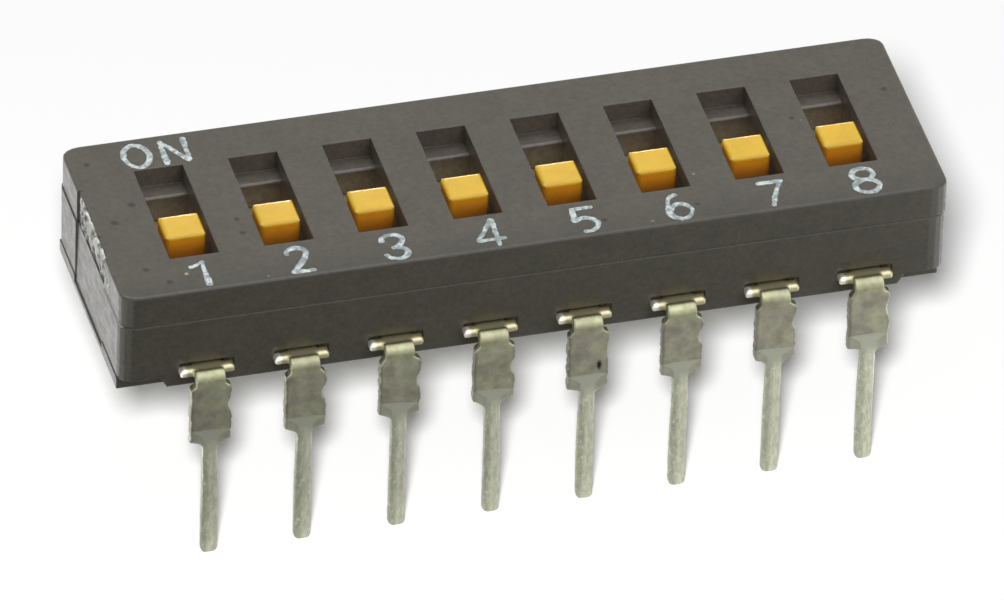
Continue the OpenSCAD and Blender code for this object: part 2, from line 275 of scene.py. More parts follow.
def seen_directly(nodes):
    """1 for camera, glossy and transmission rays, and 0 for the rays that light things."""
    path = nodes.add("ShaderNodeLightPath")
    glossy = nodes.math("MAXIMUM", path.outputs["Is Camera Ray"], path.outputs["Is Glossy Ray"])
    return nodes.math("MAXIMUM", glossy, path.outputs["Is Transmission Ray"])


def make_world():
    """A white background that lights the object only a little."""
    world = bpy.data.worlds.new("world")
    world.use_nodes = True
    nodes = Nodes(world.node_tree)
    background = nodes.add("ShaderNodeBackground")
    output = nodes.add("ShaderNodeOutputWorld")
    background.inputs["Color"].default_value = rgb(1, 1, 1)
    strength = nodes.ramp(seen_directly(nodes), 0, 1, AMBIENT, 1.0)
    nodes.link(strength, background.inputs["Strength"])
    nodes.link(background.outputs["Background"], output.inputs["Surface"])
    bpy.context.scene.world = world


def make_floor():
    """A pale floor that shows as white and keeps the shadow."""
    bpy.ops.mesh.primitive_circle_add(
        vertices=FLOOR_CORNERS, radius=FLOOR_RADIUS, fill_type="NGON", location=(0, 0, 0))
    floor = bpy.context.object
    floor.name = "floor"
    material = bpy.data.materials.new("floor")
    material.use_nodes = True
    nodes = Nodes(material.node_tree)
    path = nodes.add("ShaderNodeLightPath")
    diffuse = nodes.add("ShaderNodeBsdfDiffuse")
    indirect = nodes.math("MAXIMUM", path.outputs["Is Diffuse Ray"], path.outputs["Is Glossy Ray"])
    nodes.link(nodes.ramp(indirect, 0, 1, FLOOR_COLOR, FLOOR_BOUNCE_COLOR), diffuse.inputs["Color"])
    where = nodes.position()
    across = nodes.axis(where, "X")
    past = nodes.absolute(across)
    front = nodes.math("ADD", nodes.ramp(across, *MIRROR_ALONG, *MIRROR_FRONT),
                       nodes.ramp(past, *MIRROR_ENDS_FRONT, -FLOOR_SHADE,
                                  MIRROR_PAST_FRONT - FLOOR_SHADE))
    back = nodes.ramp(past, *MIRROR_ENDS_BACK, MIRROR_BACK - FLOOR_SHADE,
                      MIRROR_BACK + MIRROR_PAST_BACK - FLOOR_SHADE)
    mirrored = nodes.mix(nodes.ramp(nodes.axis(where, "Y"), *MIRROR_TURN), front, back)
    mirrored = nodes.times(mirrored, path.outputs["Is Glossy Ray"])
    plain = nodes.math("MAXIMUM", path.outputs["Is Camera Ray"], path.outputs["Is Transmission Ray"])
    plain = nodes.times(plain, FLOOR_GLOW)
    glow = nodes.add("ShaderNodeEmission")
    nodes.link(nodes.math("ADD", mirrored, plain), glow.inputs["Strength"])
    both = nodes.add("ShaderNodeAddShader")
    output = nodes.add("ShaderNodeOutputMaterial")
    nodes.link(diffuse.outputs["BSDF"], both.inputs[0])
    nodes.link(glow.outputs["Emission"], both.inputs[1])
    nodes.link(both.outputs["Shader"], output.inputs["Surface"])
    floor.data.materials.append(material)
    return floor


def make_lamps(floor):
    """Disk lamps round the middle of the object, each for a part of what stands there."""
    sliders = [frame["nodes"][f"slider_{k}"] for k in range(1, POSITIONS + 1)]
    target = Vector((0, 0, LAMP_TARGET_Z * MM))
    for name, (direction, distance, width, level, lights) in LAMPS.items():
        data = bpy.data.lights.new(name, "AREA")
        data.shape = "DISK"
        data.size = width
        data.energy = level * (math.pi * distance) ** 2
        lamp = bpy.data.objects.new(name, data)
        away = Vector(direction).normalized()
        lamp.location = target + away * distance
        lamp.rotation_mode = "QUATERNION"
        lamp.rotation_quaternion = away.to_track_quat("Z", "Y")
        bpy.context.scene.collection.objects.link(lamp)
        receivers = bpy.data.collections.new(name + "_receivers")
        for thing in (sliders if lights == "sliders" else [floor]):
            receivers.objects.link(thing)
        lamp.light_linking.receiver_collection = receivers
        # What lights the object lights all but the floor
        if lights == "object":
            receivers.collection_objects[0].light_linking.link_state = "EXCLUDE"


# ---------------------------------------------------------------- materials
TOP_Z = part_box("cover")[1].z / MM
HOUSING_COLOR = rgb(0.067, 0.061, 0.042)
# Painted light in the parting line of the left end, in front of the torn plastic, where its groove is
# coloured pale against its shade: its middle height, and the pairs of places between which it sets in,
# away from that height, along y and along x
SEAM_PAINTED_LIGHT_COLOR = rgb(0.62, 0.63, 0.60)
SEAM_PAINTED_LIGHT_Z = 7.265
SEAM_PAINTED_LIGHT_HALF = (0.026, 0.016)
SEAM_PAINTED_LIGHT_Y = (-1.4, -1.5)
SEAM_PAINTED_LIGHT_X = (-11.05, -11.1)
# Height in millimetres and colour down the inside of a slot: painted light and shade, lighter and
# warmer towards the bottom, with a darker band at about 7.66 to 7.69
SLOT_PAINTED_LIGHT = [
    (7.2, rgb(0.25, 0.22, 0.16)), (7.6, rgb(0.145, 0.125, 0.098)), (7.66, rgb(0.096, 0.084, 0.07)),
    (7.69, rgb(0.096, 0.084, 0.07)), (7.74, rgb(0.122, 0.106, 0.085)),
]
SLIDER_COLOR = rgb(0.775, 0.475, 0.0)
# Height in millimetres and colour down the side of a slider: painted shade, darker and redder
# downwards, and painted light on the flange at the bottom
SLIDER_PAINTED_SHADE = [
    (6.9, rgb(0.42, 0.34, 0.21)), (7.25, rgb(0.36, 0.15, 0.05)), (7.7, rgb(0.70, 0.25, 0.02)),
    (8.02, rgb(0.97, 0.42, 0.02)), (8.2, SLIDER_COLOR),
]
TIN_COLOR = rgb(0.415, 0.415, 0.30)
TARNISH_COLOR = rgb(0.355, 0.335, 0.268)
LEAD_COLOR = rgb(0.78, 0.79, 0.61)
FAN_COLOR = rgb(0.52, 0.54, 0.43)
LEAD_SHADE_COLOR = rgb(0.50, 0.53, 0.39)
LEAD_GLINT_COLOR = rgb(1.0, 0.98, 0.84)
BEND_TINT = rgb(0.90, 0.93, 0.79)
STUB_PAINTED_LIGHT_COLOR = rgb(0.53, 0.49, 0.31)
STUB_PAINTED_GLINT_COLOR = rgb(0.97, 0.95, 0.85)
GOLD_COLOR = rgb(0.75, 0.52, 0.2)
INK_COLOR = rgb(0.72, 0.80, 0.79)
INK_THIN_COLOR = rgb(0.26, 0.31, 0.32)
SCAR_COLOR = rgb(0.85, 0.85, 0.78)
SLIDER_HIGHLIGHT_COLOR = rgb(1.0, 0.82, 0.36)
# A dark speck on the first slider, and a stain on a terminal that is taller than wide
SLIDER_SPECK = (-8.9, -0.95, 7.9)
TERMINAL_STAIN = (1.6, -3.93, 4.38)
STAIN_STRETCH = 2.2
# y of the corner at the rear of the gate well that is darkened as painted shade, and x from the well's
# floor to its rim
WELL_REAR = 1.475
WELL_X = (-11.03, -11.0)
# Pairs of places in millimetres between which a finish, or a painted light or shade, changes
SLOTS_Y = (2.2, 2.1)
SLOTS_X = (10.4, 10.2)
ENDS_X = (11.0, 11.06)
SHADED_FRONT_EDGE_Y = (-3.42, -3.33)
SHADED_FRONT_STRIP_Y = (-3.3, -2.4)
SLIDER_HIGHLIGHT_Z = (8.1, 8.17)
CRACK_SHADE_Z = (7.46, 7.54)
CRACK_SHADE_Y = (0.1, 0.5)
FAN_Z = (3.3, 3.75)
BEND_TINT_Z = (5.35, 5.6)
BEND_ROUGH_Z = (5.3, 5.5)
STUB_Z = (6.0, 6.1)
STUB_PAINTED_GLINT_U = (-0.56, -0.64)

# Marks on the top face: x, y and radius in millimetres, and the tone there
MARKS = [
    (-10.63, 2.55, 0.10, 0.15), (-9.91, 0.59, 0.13, 0.12), (-10.53, -0.07, 0.13, 0.12),
    (-7.39, -1.24, 0.10, 0.2), (-7.39, -0.62, 0.10, 0.2), (-10.23, -2.22, 0.11, 0.2),
    (-9.75, -2.88, 0.12, 0.15), (10.6, 1.07, 0.10, 0.2), (1.94, -2.82, 0.10, 0.15),
    (4.49, -2.7, 0.08, 0.2), (7.89, 0.38, 0.10, 0.2), (-11.12, -0.57, 0.12, 0.05),
    (-9.24, -2.63, 0.06, 8.0), (-7.19, -3.19, 0.05, 3.5), (3.15, -3.15, 0.06, 3.5),
    (4.73, -1.41, 0.05, 3.5), (8.1, 0.24, 0.05, 2.5),
]


def housing_plastic():
    material, nodes, shader = new_material("housing_plastic", IOR=1.5)
    where = nodes.position()
    x, y, z = [nodes.axis(where, name) for name in "XYZ"]
    cloud = nodes.ramp(nodes.noise(where, 0.9, 4), 0.3, 0.7, 0.9, 1.1)
    grain = nodes.noise(where, 26.0, 3, 0.6)
    mottle = nodes.ramp(nodes.noise(where, 6.0, 4, 0.65), 0.3, 0.7, 0.78, 1.22)
    tone = nodes.times(cloud, nodes.ramp(grain, 0.3, 0.7, 0.82, 1.18))
    tone = nodes.times(tone, mottle)
    speck = nodes.ramp(nodes.voronoi(where, 1.4), 0.02, 0.05, 0.5, 1.0)
    tone = nodes.times(tone, speck)
    for mark_x, mark_y, radius, mark_tone in MARKS:
        mark = nodes.near(where, (mark_x, mark_y, TOP_Z), 0.4 * radius, 1.1 * radius, mark_tone)
        tone = nodes.times(tone, mark)
    # Painted shade: the corner at the rear of the gate well is darkened
    from_corner = nodes.absolute(nodes.math("SUBTRACT", y, WELL_REAR))
    past_corner = nodes.math("MAXIMUM", nodes.ramp(from_corner, 0.03, 0.05), nodes.ramp(x, *WELL_X))
    tone = nodes.times(tone, nodes.ramp(past_corner, 0, 1, 0.2, 1.0))
    # Painted shade: the front of the top face is darker, most of all along its edge
    on_top = nodes.ramp(z, TOP_Z - 0.08, TOP_Z - 0.02)
    front = nodes.times(nodes.ramp(y, *SHADED_FRONT_EDGE_Y, 0.55, 1.0),
                       nodes.ramp(y, *SHADED_FRONT_STRIP_Y, 0.71, 1.0))
    tone = nodes.times(tone, nodes.mix(on_top, rgb(1, 1, 1), front))
    # Painted light: inside the slots the colour follows the height, lighter and warmer as light that
    # the sliders throw back would make it
    in_slots = nodes.times(nodes.ramp(nodes.absolute(y), *SLOTS_Y),
                          nodes.ramp(z, TOP_Z - 0.02, TOP_Z - 0.06))
    in_slots = nodes.times(in_slots, nodes.ramp(nodes.absolute(x), *SLOTS_X))
    colour = nodes.mix(in_slots, HOUSING_COLOR, nodes.gradient(z, SLOT_PAINTED_LIGHT))
    # Painted light: a stretch of the parting line is coloured pale, against the shade of its groove
    from_seam = nodes.absolute(nodes.math("SUBTRACT", z, SEAM_PAINTED_LIGHT_Z))
    seam_painted_light = nodes.times(nodes.ramp(from_seam, *SEAM_PAINTED_LIGHT_HALF), nodes.ramp(x, *SEAM_PAINTED_LIGHT_X))
    seam_painted_light = nodes.times(seam_painted_light, nodes.ramp(y, *SEAM_PAINTED_LIGHT_Y))
    colour = nodes.mix(seam_painted_light, nodes.scaled(colour, tone), SEAM_PAINTED_LIGHT_COLOR)
    nodes.link(colour, shader["Base Color"])
    # Both ends are rougher and streaked
    ends = nodes.ramp(nodes.absolute(x), *ENDS_X)
    streak = nodes.noise(nodes.position((1, 1.2, 2.5)), 1.8, 4, 0.6)
    rough = nodes.math("ADD", nodes.ramp(grain, 0.2, 0.8, 0.26, 0.36),
                       nodes.times(ends, nodes.ramp(streak, 0.35, 0.65, 0.0, 0.14)))
    nodes.link(rough, shader["Roughness"])
    edges = nodes.add("ShaderNodeBevel", samples=6)
    nodes.link(nodes.ramp(in_slots, 0, 1, 0.09 * MM, 0.03 * MM), edges.inputs["Radius"])
    uneven = nodes.times(ends, streak)
    normal = nodes.bump(grain, 0.004, normal=edges.outputs["Normal"])
    nodes.link(nodes.bump(uneven, 0.012, normal=normal), shader["Normal"])
    return material


def slider_plastic():
    material, nodes, shader = new_material("slider_plastic", IOR=1.48)
    where = nodes.position()
    cloud = nodes.noise(where, 1.7, 3)
    grain = nodes.noise(where, 30.0, 2)
    # Painted shade and light down the side of the slider
    colour = nodes.gradient(nodes.axis(where, "Z"), SLIDER_PAINTED_SHADE)
    tone = nodes.times(nodes.ramp(cloud, 0.35, 0.65, 0.9, 1.0),
                      nodes.near(where, SLIDER_SPECK, 0.03, 0.09, 0.25))
    colour = nodes.scaled(colour, tone)
    edges = nodes.add("ShaderNodeBevel", samples=6)
    edges.inputs["Radius"].default_value = 0.07 * MM
    # Painted highlight: the upper edges are coloured pale
    turned = nodes.add("ShaderNodeVectorMath", operation="DOT_PRODUCT")
    nodes.link(edges.outputs["Normal"], turned.inputs[0])
    nodes.link(nodes.add("ShaderNodeNewGeometry").outputs["True Normal"], turned.inputs[1])
    painted_highlight = nodes.times(nodes.ramp(turned.outputs["Value"], 0.985, 0.88),
                      nodes.ramp(nodes.axis(where, "Z"), *SLIDER_HIGHLIGHT_Z))
    colour = nodes.mix(painted_highlight, colour, SLIDER_HIGHLIGHT_COLOR)
    nodes.link(colour, shader["Base Color"])
    nodes.link(nodes.ramp(grain, 0.2, 0.8, 0.22, 0.3), shader["Roughness"])
    nodes.link(nodes.bump(grain, 0.003, normal=edges.outputs["Normal"]), shader["Normal"])
    shader["Subsurface Weight"].default_value = 0.5
    shader["Subsurface Radius"].default_value = (1.0, 0.4, 0.08)
    shader["Subsurface Scale"].default_value = 0.5 * MM
    return material


def tin_plated_lead():
    """Plating of the terminals. Their "strip" attribute holds the place across the strip,
    the height along it and how far it is coined."""
    material, nodes, shader = new_material("tin_plated_lead", Metallic=1.0)
    where = nodes.position()
    strip = nodes.add("ShaderNodeAttribute", attribute_name="strip").outputs["Vector"]
    across, height, coined = [nodes.axis(strip, name) for name in "XYZ"]
    blotch = nodes.noise(where, 3.0, 4, 0.6)
    grain = nodes.noise(where, 22.0, 3, 0.6)
    streak = nodes.noise(nodes.position((1, 1, 0.25)), 11.0, 4, 0.65)
    # Painted glints: pale flecks on the leads
    lead_glints = nodes.ramp(nodes.noise(nodes.position((1, 1, 0.6)), 9.0, 4, 0.7), 0.54, 0.7)
    rim = nodes.ramp(nodes.absolute(across), 0.45, 0.53, 1.0, 0.72)
    tarnish = nodes.ramp(nodes.noise(where, 1.9, 3, 0.6), 0.42, 0.6)
    plate = nodes.mix(tarnish, TIN_COLOR, TARNISH_COLOR)
    plate = nodes.scaled(plate, nodes.times(rim, nodes.ramp(blotch, 0.35, 0.65, 0.84, 1.16)))
    # Painted shade: the left side of each lead is darker
    lead = nodes.mix(nodes.ramp(across, 0.0, -0.12, 0.0, 0.8), LEAD_COLOR, LEAD_SHADE_COLOR)
    lead = nodes.scaled(lead, nodes.ramp(streak, 0.38, 0.62, 0.84, 1.1))
    lead = nodes.mix(nodes.times(lead_glints, 0.75), lead, LEAD_GLINT_COLOR)
    lead = nodes.mix(nodes.ramp(height, *FAN_Z), lead, FAN_COLOR)
    colour = nodes.mix(coined, plate, lead)
    colour = nodes.mix(nodes.ramp(height, *BEND_TINT_Z), colour, BEND_TINT, "MULTIPLY")
    # Painted light and glint: the stub is coloured lighter and golden, and near white at its left tip
    stub = nodes.mix(nodes.ramp(across, *STUB_PAINTED_GLINT_U), STUB_PAINTED_LIGHT_COLOR, STUB_PAINTED_GLINT_COLOR)
    colour = nodes.mix(nodes.ramp(height, *STUB_Z), colour, stub)
    stain_x, stain_y, stain_z = TERMINAL_STAIN
    stain = nodes.near(nodes.position((1, 1, 1 / STAIN_STRETCH)),
                       (stain_x, stain_y, stain_z / STAIN_STRETCH), 0.035, 0.09, 0.1)
    colour = nodes.scaled(colour, stain)
    nodes.link(colour, shader["Base Color"])
    rough = nodes.math("ADD", nodes.ramp(grain, 0.2, 0.8, 0.3, 0.42),
                       nodes.ramp(height, *BEND_ROUGH_Z, 0.0, 0.12))
    nodes.link(rough, shader["Roughness"])
    pits = nodes.times(nodes.math("ADD", 0.3, coined), streak)
    nodes.link(nodes.bump(pits, 0.007, normal=nodes.bump(grain, 0.003)), shader["Normal"])
    return material


def gold_plated_spring():
    material, nodes, shader = new_material("gold_plated_spring", Metallic=1.0)
    where = nodes.position()
    grain = nodes.noise(where, 14.0, 3)
    darker = rgb(*[c * 0.8 for c in GOLD_COLOR[:3]])
    nodes.link(nodes.mix(nodes.ramp(grain, 0.35, 0.65), darker, GOLD_COLOR), shader["Base Color"])
    nodes.link(nodes.ramp(grain, 0.2, 0.8, 0.2, 0.34), shader["Roughness"])
    return material


def legend_ink():
    material, nodes, shader = new_material("legend_ink", Roughness=0.5)
    where = nodes.position()
    cover = nodes.ramp(nodes.noise(where, 5.5, 4, 0.65), 0.4, 0.6)
    nodes.link(nodes.mix(cover, INK_THIN_COLOR, INK_COLOR), shader["Base Color"])
    nodes.link(nodes.bump(nodes.noise(where, 18.0, 2), 0.004), shader["Normal"])
    return material


def torn_plastic():
    """Plastic where the gate was broken off: pale and dark in flecks, with painted shade of a crack at
    its bottom.
    """
    material, nodes, shader = new_material("torn_plastic", IOR=1.5)
    where = nodes.position()
    flecks = nodes.noise(where, 2.6, 4, 0.65)
    colour = nodes.mix(nodes.ramp(flecks, 0.42, 0.52), HOUSING_COLOR, SCAR_COLOR)
    # Painted shade of a crack: darker at the bottom of the torn patch, except towards its rear
    crack_shade = nodes.math("MAXIMUM", nodes.ramp(nodes.axis(where, "Z"), *CRACK_SHADE_Z, 0.08, 1.0),
                       nodes.ramp(nodes.axis(where, "Y"), *CRACK_SHADE_Y))
    nodes.link(nodes.scaled(colour, crack_shade), shader["Base Color"])
    nodes.link(nodes.ramp(flecks, 0.3, 0.7, 0.3, 0.5), shader["Roughness"])
    nodes.link(nodes.bump(flecks, 0.03), shader["Normal"])
    return material


def dress_cad_nodes(materials):
    """Gives every CAD node its finish by the slot that the record names."""
    for part in frame["record"]["subparts"]:
        node = frame["nodes"][part["node"]]
        node.data.materials.clear()
        node.data.materials.append(materials[part["material_slot"]])


# ---------------------------------------------------------------- mesh helpers
def smooth_line(points, spacing=0.03):
    """Catmull-Rom line through the points, closed where the ends meet."""
    nodes = [np.array(p, float) for p in points]
    closed = np.allclose(nodes[0], nodes[-1])
    before = nodes[-2] if closed else 2 * nodes[0] - nodes[1]
    after = nodes[1] if closed else 2 * nodes[-1] - nodes[-2]
    nodes = [before] + nodes + [after]
    line = []
    for k in range(1, len(nodes) - 2):
        a, b, c, d = nodes[k - 1:k + 3]
        count = max(2, int(np.linalg.norm(c - b) / spacing))
        for t in np.arange(count) / count:
            line.append(0.5 * (2 * b + (c - a) * t + (2 * a - 5 * b + 4 * c - d) * t ** 2
                               + (3 * b - a - 3 * c + d) * t ** 3))
    return np.array(line + [nodes[-2]])


def wave_field(rng, count, scale):
    """A smooth random function of x and y, made of a few sine waves, from about -1 to 1."""
    turns = rng.uniform(0, 2 * math.pi, count)
    sizes = scale * rng.uniform(0.6, 1.6, count)
    shifts = rng.uniform(0, 2 * math.pi, count)

    def value(x, y):
        total = 0
        for turn, size, shift in zip(turns, sizes, shifts):
            total = total + np.sin(size * (x * math.cos(turn) + y * math.sin(turn)) + shift)
        return total / math.sqrt(count)
    return value


def distance_to_line(x, y, line):
    """Distance from each point of a grid to a line of short straight pieces."""
    best = np.full(x.shape, 1e9)
    for start, end in zip(line[:-1], line[1:]):
        along = end - start
        t = ((x - start[0]) * along[0] + (y - start[1]) * along[1]) / max(along @ along, 1e-12)
        t = np.clip(t, 0, 1)
        best = np.minimum(best, np.hypot(x - start[0] - t * along[0], y - start[1] - t * along[1]))
    return best


def mesh_piece(name, points, faces, material):
    """A smooth-shaded mesh object from points in millimetres."""
    mesh = bpy.data.meshes.new(name)
    mesh.from_pydata([tuple(float(c) * MM for c in p) for p in points], [],
                     [tuple(int(k) for k in face) for face in faces])
    mesh.polygons.foreach_set("use_smooth", [True] * len(mesh.polygons))
    mesh.materials.append(material)
    mesh.validate()
    mesh.update()
    piece = bpy.data.objects.new(name, mesh)
    bpy.context.scene.collection.objects.link(piece)
    return piece


def is_within(x, y, line):
    """Whether each point of a grid lies inside a closed line."""
    result = np.zeros(x.shape, bool)
    for (x0, y0), (x1, y1) in zip(line[:-1], line[1:]):
        crossed = (y0 > y) != (y1 > y)
        result ^= crossed & (x < x0 + (y - y0) * (x1 - x0) / ((y1 - y0) or 1.0))
    return result


def rounded(first, second, r):
    """What lies inside both shapes, with the edge between them rounded."""
    kept = np.maximum(np.minimum(first, second), r)
    return kept - np.hypot(np.maximum(r - first, 0), np.maximum(r - second, 0))


def surface_net(field):
    """Corners, in grid steps, and quads of the skin round the positive part of a grid."""
    cells = tuple(count - 1 for count in field.shape)
    total = np.zeros(cells + (3,))
    count = np.zeros(cells)
    rings = []
    for axis in range(3):
        start = np.delete(field, -1, axis)
        end = np.delete(field, 0, axis)
        places = np.argwhere((start > 0) != (end > 0))
        at = tuple(places.T)
        spots = places.astype(float)
        spots[:, axis] += start[at] / (start[at] - end[at])
        first, second = [k for k in range(3) if k != axis]
        ring = []
        for back_first, back_second in ((0, 0), (1, 0), (1, 1), (0, 1)):
            cell = places.copy()
            cell[:, first] -= back_first
            cell[:, second] -= back_second
            np.add.at(total, tuple(cell.T), spots)
            np.add.at(count, tuple(cell.T), 1)
            ring.append(cell)
        rings.append((ring, (start[at] > 0) ^ (axis == 1)))
    used = count > 0
    index = -np.ones(cells, int)
    index[used] = np.arange(used.sum())
    faces = []
    for ring, turned in rings:
        quads = np.stack([index[tuple(cell.T)] for cell in ring], 1)
        quads[turned] = quads[turned][:, ::-1]
        faces.append(quads)
    return total[used] / count[used][:, None], np.concatenate(faces)


def on_axes(corners, axes):
    """Places of the corners of a surface net along the three axes of its grid."""
    return [np.interp(corners[:, k], np.arange(len(axis)), axis) for k, axis in enumerate(axes)]


def smooth_step(value, low, high):
    """0 below low, 1 past high and smooth between them."""
    t = np.clip((value - low) / (high - low), 0, 1)
    return t * t * (3 - 2 * t)


# ---------------------------------------------------------------- printed legend
PEN = 0.076
INK_T = 0.012
INK_STEP = 0.018
# Lift of the film's rim off the top face, and how far the film reaches into it
INK_LIFT = 0.001
INK_SUNK = 0.01
INK_RAGGED = 0.008
INK_SWELL = 0.012
LEGEND_SEED = 100

# Strokes of each character: points in millimetres that a smooth line runs through.
# The digits count x from the middle of their slot, and ON from the middle of the housing.
LEGEND = {
    "1": [[(-0.2, -2.37), (-0.04, -2.31), (0.13, -2.22)], [(0.11, -2.24), (0.09, -3.18)]],
    "2": [[(-0.21, -2.42), (-0.15, -2.27), (0.05, -2.18), (0.27, -2.27), (0.31, -2.48),
           (0.18, -2.74), (-0.06, -3.02), (-0.2, -3.2)], [(-0.2, -3.2), (0.34, -3.2)]],
    "3": [[(-0.2, -2.42), (-0.13, -2.27), (0.1, -2.19), (0.32, -2.28), (0.35, -2.47),
           (0.22, -2.66), (0.06, -2.74)],
          [(0.06, -2.74), (0.28, -2.8), (0.38, -2.98), (0.3, -3.15), (0.1, -3.23),
           (-0.12, -3.16), (-0.2, -3.02)]],
    "4": [[(0.26, -2.17), (-0.25, -2.95)], [(-0.25, -2.97), (0.42, -2.98)],
          [(0.28, -2.17), (0.24, -3.22)]],
    "5": [[(0.4, -2.2), (-0.1, -2.2)], [(-0.1, -2.2), (-0.14, -2.68)],
          [(-0.14, -2.7), (0.05, -2.61), (0.28, -2.66), (0.43, -2.86), (0.37, -3.08),
           (0.2, -3.19), (0.04, -3.2)]],
    "6": [[(0.14, -2.18), (-0.04, -2.3), (-0.14, -2.55), (-0.17, -2.88), (-0.09, -3.12),
           (0.11, -3.22), (0.33, -3.14), (0.43, -2.9), (0.35, -2.69), (0.15, -2.59),
           (-0.03, -2.66), (-0.14, -2.84)]],
    "7": [[(-0.14, -2.21), (0.47, -2.21)], [(0.46, -2.23), (0.32, -2.5), (0.17, -2.8), (0.03, -3.18)]],
    "8": [[(0.1, -2.66), (-0.12, -2.57), (-0.18, -2.4), (-0.1, -2.24), (0.1, -2.17),
           (0.3, -2.24), (0.38, -2.4), (0.32, -2.57), (0.1, -2.66)],
          [(0.1, -2.66), (-0.15, -2.76), (-0.22, -2.94), (-0.13, -3.13), (0.1, -3.21),
           (0.34, -3.13), (0.43, -2.94), (0.36, -2.76), (0.1, -2.66)]],
    "O": [[(-9.28, 2.13), (-9.52, 2.28), (-9.62, 2.62), (-9.52, 2.96), (-9.28, 3.1),
           (-9.04, 2.96), (-8.94, 2.62), (-9.04, 2.28), (-9.28, 2.13)]],
    "N": [[(-8.56, 2.14), (-8.55, 3.1)], [(-8.52, 3.06), (-8.26, 2.64), (-7.98, 2.18)],
          [(-7.95, 2.2), (-7.92, 3.1)]],
}


def ink_character(name, strokes, shift_x, material, rng):
    """A thin closed film of ink with a slightly uneven outline and thickness."""
    lines = [smooth_line(stroke) + np.array((shift_x, 0)) for stroke in strokes]
    points = np.concatenate(lines)
    low = points.min(0) - 2 * PEN
    high = points.max(0) + 2 * PEN
    x, y = np.meshgrid(np.arange(low[0], high[0], INK_STEP), np.arange(low[1], high[1], INK_STEP))
    ragged = wave_field(rng, 9, 26.0)
    swell = wave_field(rng, 5, 6.0)
    nearest = np.minimum.reduce([distance_to_line(x, y, line) for line in lines])
    depth = PEN + INK_RAGGED * ragged(x, y) + INK_SWELL * swell(x, y) - nearest
    inside = depth > 0
    cells = inside[:-1, :-1] & inside[1:, :-1] & inside[:-1, 1:] & inside[1:, 1:]
    used = np.zeros(x.shape, bool)
    for dy in (0, 1):
        for dx in (0, 1):
            used[dy:dy + cells.shape[0], dx:dx + cells.shape[1]] |= cells
    # Points on the rim move out to where the film ends
    slope_y, slope_x = np.gradient(depth, INK_STEP)
    steep = np.maximum(np.hypot(slope_x, slope_y), 0.3)
    core = used.copy()
    core[1:-1, 1:-1] = (cells[:-1, :-1] & cells[1:, :-1] & cells[:-1, 1:] & cells[1:, 1:])
    rim = used & ~core
    x = np.where(rim, x - slope_x / steep ** 2 * depth, x)
    y = np.where(rim, y - slope_y / steep ** 2 * depth, y)
    rise = np.where(rim, 0.0, np.clip(depth / (0.5 * PEN), 0, 1))
    z = TOP_Z + INK_LIFT + INK_T * np.sqrt(rise) * (0.8 + 0.2 * ragged(y, x))
    index = -np.ones(used.shape, int)
    index[used] = np.arange(used.sum())
    count = int(used.sum())
    upper = np.stack([x[used], y[used], z[used]], 1)
    lower = upper.copy()
    lower[:, 2] = TOP_Z - INK_SUNK
    faces = []
    edges = {}
    for row, column in zip(*np.nonzero(cells)):
        loop = [index[row, column], index[row, column + 1],
                index[row + 1, column + 1], index[row + 1, column]]
        faces.append(loop)
        faces.append([k + count for k in reversed(loop)])
        for a, b in zip(loop, loop[1:] + loop[:1]):
            edges[(a, b)] = True
    for a, b in edges:
        if (b, a) not in edges:
            faces.append([b, a, a + count, b + count])
    return mesh_piece(name, np.concatenate([upper, lower]), faces, material)


def make_legend(material):
    """The digits and the word ON."""
    for number, (character, strokes) in enumerate(LEGEND.items()):
        shift_x = FIRST_X + (int(character) - 1) * PITCH if character.isdigit() else 0
        rng = np.random.default_rng(LEGEND_SEED + number)
        piece = ink_character("legend_" + character, strokes, shift_x, material, rng)
        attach(piece, "housing")


# ---------------------------------------------------------------- formed terminals
# The strip is shaped unrolled and then bent. On the grid, u runs across the strip, s along it
# from the start of the bend to the tip, and n outward through it from the middle of the bend.
BEND_Y = 3.635
BEND_Z = 5.6
STRIP_LOW = 0.05
STRIP_TOP = 0.3
BEND_S = 0.5 * math.pi * STRIP_TOP
STUB_S = -0.005
STUB_HALF = (0.76, 0.7)
STUB_FALL = 0.06
WALL_S = -0.325
ANCHOR_S = -0.785
NECK_HALF = (0.41, 0.38)
PLATE_HALF = 0.55
LEAD_HALF = 0.2
TIP_HALF = 0.218
SHOULDER_Z = 5.5
NOTCH_L = 0.5
COIN_T = 0.016
FAN_T = 0.015
TIP_R = 0.14
STRIP_STEP = {"front": 0.03, "back": 0.045}
TERMINAL_SEED = {"front": 300, "back": 350}
# Half widths of the pad inside the housing and of the strip in its wall
PAD_HALF = 0.6
IN_WALL_HALF = 0.45
# Radii of the edges of the outer face on the stub and elsewhere
STUB_EDGE_R = 0.12
EDGE_R = 0.03
EDGE_LEAST_R = 0.02
# Heights along the lead: where the plate goes over into it, and where it strays aside
LEAD_Z = (3.75, 3.5)
STRAY_Z = (2.9, 2.0)
PAD_START = {"front": -3.535, "back": -2.635}

